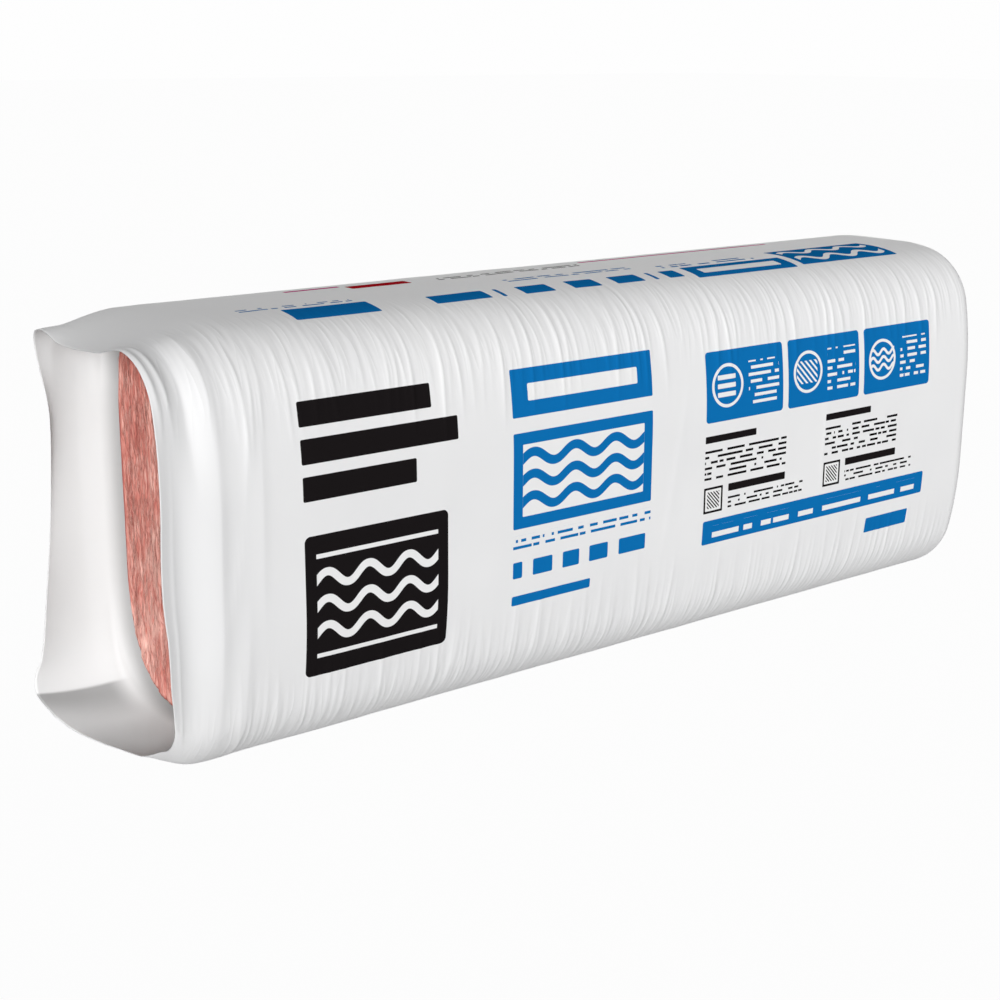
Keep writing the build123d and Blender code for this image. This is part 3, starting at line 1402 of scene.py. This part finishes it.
        index = np.arange(count * knots * sides).reshape(count, knots, sides)
        turned = np.roll(index, -1, axis=2)
        walls = np.stack([index[:, :-1], turned[:, :-1], turned[:, 1:], index[:, 1:]], axis=3).reshape(-1, 4)
        caps = np.concatenate([index[:, 0, ::-1], index[:, -1]])
        mesh = bpy.data.meshes.new("loose_fibres")
        mesh.from_pydata(points.reshape(-1, 3).tolist(), [], walls.tolist() + caps.tolist())
        mesh.shade_smooth()
        self.paint(mesh, SEAM_SHADE, np.zeros(points.size // 3))
        self.paint(mesh, STRAND, np.repeat(rng.uniform(0, 1, count), knots * sides))
        threads = bpy.data.objects.new("loose_fibres", mesh)
        bpy.context.collection.objects.link(threads)
        return threads


@dataclass(frozen=True)
class Studio:
    """Camera, floor and soft light, as for a product picture on white."""

    camera_at: tuple[float, float, float] = (-1.3812, -1.6322, 0.7665)
    camera_aim: tuple[float, float, float] = (-0.0915, 0.0, 0.1995)
    camera_roll: float = 0.24
    camera_lens: float = 60.69
    floor_size: float = 60.0
    floor_colour: str = "9A9A9A"
    floor_glow: float = 0.975
    sky: float = 0.13
    backdrop: float = 0.99
    lamp_spread: float = 24.0
    key_strength: float = 3.15
    fill_strength: float = 2.0
    key_from: tuple[float, float, float] = (-0.64, -0.74, 0.18)
    back_from: tuple[float, float, float] = (0.72, 0.68, 0.16)
    strip_power: float = 5.0
    strip_size: tuple[float, float] = (0.3, 1.6)
    strip_at: tuple[float, float, float] = (0.58, -2.9, 1.54)
    strip_aim: tuple[float, float, float] = (0.0, -0.15, 0.4)

    def build(self) -> None:
        """Sets up the whole studio."""
        self.camera()
        self.floor()
        self.world()
        self.far_lamp("key_light", self.key_from, self.key_strength)
        # The back light is kept out of reflections, or it would glare on the top.
        self.far_lamp("back_light", self.back_from, self.fill_strength).visible_glossy = False
        self.strip()
        bpy.context.scene.view_settings.view_transform = "Standard"

    def camera(self) -> None:
        """Places the camera where the photograph was taken from."""
        at, aim = Vector(self.camera_at), Vector(self.camera_aim)
        ahead = (aim - at).normalized()
        right = ahead.cross(Vector((0, 0, 1))).normalized()
        up = right.cross(ahead)
        turn = radians(self.camera_roll)
        right, up = right * cos(turn) + up * sin(turn), up * cos(turn) - right * sin(turn)
        data = bpy.data.cameras.new("photo_camera")
        data.lens = self.camera_lens
        data.sensor_width = 36.0
        camera = bpy.data.objects.new("photo_camera", data)
        camera.matrix_world = Matrix.Translation(at) @ Matrix((right, up, -ahead)).transposed().to_4x4()
        bpy.context.collection.objects.link(camera)
        bpy.context.scene.camera = camera

    def floor(self) -> None:
        """Lays a pale floor that the camera sees as almost white, with the bag's soft shadow."""
        deselect()
        bpy.ops.mesh.primitive_plane_add(size=self.floor_size)
        floor = bpy.context.object
        floor.name = floor.data.name = "studio_floor"
        material, tree, shader = new_material("white_paper_floor")
        shader.inputs["Base Color"].default_value = linear(self.floor_colour)
        shader.inputs["Roughness"].default_value = 0.9
        shader.inputs["Specular IOR Level"].default_value = 0.1
        share = Shading(tree).math("MULTIPLY", self.seen(tree), self.floor_glow)
        glow = add_node(tree, "ShaderNodeEmission", {"Color": (1, 1, 1, 1), "Strength": 1.0})
        mix = add_node(tree, "ShaderNodeMixShader", {0: share, 1: shader.outputs[0], 2: glow.outputs[0]})
        tree.links.new(mix.outputs[0], tree.nodes["Material Output"].inputs["Surface"])
        floor.data.materials.append(material)

    def world(self) -> None:
        """Surrounds the bag with even light, which looks white to the camera."""
        world = bpy.data.worlds.new("studio_world")
        bpy.context.scene.world = world
        world.use_nodes = True
        tree = world.node_tree
        back = tree.nodes["Background"]
        back.inputs["Color"].default_value = (1, 1, 1, 1)
        strength = Shading(tree).ramp(self.seen(tree), 0.0, 1.0, self.sky, self.backdrop, "LINEAR")
        tree.links.new(strength, back.inputs["Strength"])

    @staticmethod
    def seen(tree: bpy.types.NodeTree) -> Socket:
        """Gives 1 where a ray comes from the camera, a reflection or a clear body, and 0 elsewhere."""
        nodes, ray = Shading(tree), add_node(tree, "ShaderNodeLightPath").outputs
        direct = nodes.math("MAXIMUM", ray["Is Camera Ray"], ray["Is Glossy Ray"])
        return nodes.math("MAXIMUM", direct, ray["Is Transmission Ray"])

    def far_lamp(self, name: str, toward: tuple[float, float, float], strength: float) -> bpy.types.Object:
        """Hangs a broad, distant light, which lights the whole length of the bag evenly.

        Args:
            name: Name of the lamp.
            toward: Direction from the bag to the lamp.
            strength: Its strength in watts for a square metre.

        Returns:
            The lamp's object.
        """
        data = bpy.data.lights.new(name, "SUN")
        data.energy = strength
        data.angle = radians(self.lamp_spread)
        lamp = bpy.data.objects.new(name, data)
        lamp.rotation_euler = Vector(toward).to_track_quat("Z", "Y").to_euler()
        bpy.context.collection.objects.link(lamp)
        return lamp

    def strip(self) -> None:
        """Hangs an upright strip light in front, which draws thin highlights on the folds."""
        data = bpy.data.lights.new("strip_softbox", "AREA")
        data.shape = "RECTANGLE"
        data.size, data.size_y = self.strip_size
        data.energy = self.strip_power
        lamp = bpy.data.objects.new("strip_softbox", data)
        lamp.location = self.strip_at
        away = lamp.location - Vector(self.strip_aim)
        lamp.rotation_euler = away.to_track_quat("Z", "Y").to_euler()
        bpy.context.collection.objects.link(lamp)


def fit_piece(piece: bpy.types.Object, material: bpy.types.Material, node: str) -> None:
    """Gives a piece its finish, hides the frame's node that it stands for, and lets it ride on the body.

    Args:
        piece: The piece's object.
        material: Its finish.
        node: The frame's node that it stands for.
    """
    piece.data.materials.clear()
    piece.data.materials.append(material)
    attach(piece, BODY)
    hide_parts(node)
    LOG.info("%s: %d faces, stands for %s", piece.name, len(piece.data.polygons), node)


def main() -> None:
    """Builds the studio, the bag and the batts, and notes the size of what was made."""
    logging.basicConfig(level=logging.INFO, format="%(name)s: %(message)s")
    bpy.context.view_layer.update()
    Studio().build()
    low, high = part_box("bag_film")
    bag = FilmBag(low[0], high[0], high[1] - low[1], high[2] - low[2])
    fit_piece(bag.build(), FilmFinish(bag.wool_x, bag.end_x).material(), "bag_film")
    wool = WoolFinish().material()
    nodes = sorted(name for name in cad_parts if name.startswith("batt_"))
    for seed, node in enumerate(nodes, start=FIRST_SEED):
        batt = Batt(node, bag.tube, seed=seed).build()
        fit_piece(batt, wool, node)


if __name__ == "__main__":
    main()
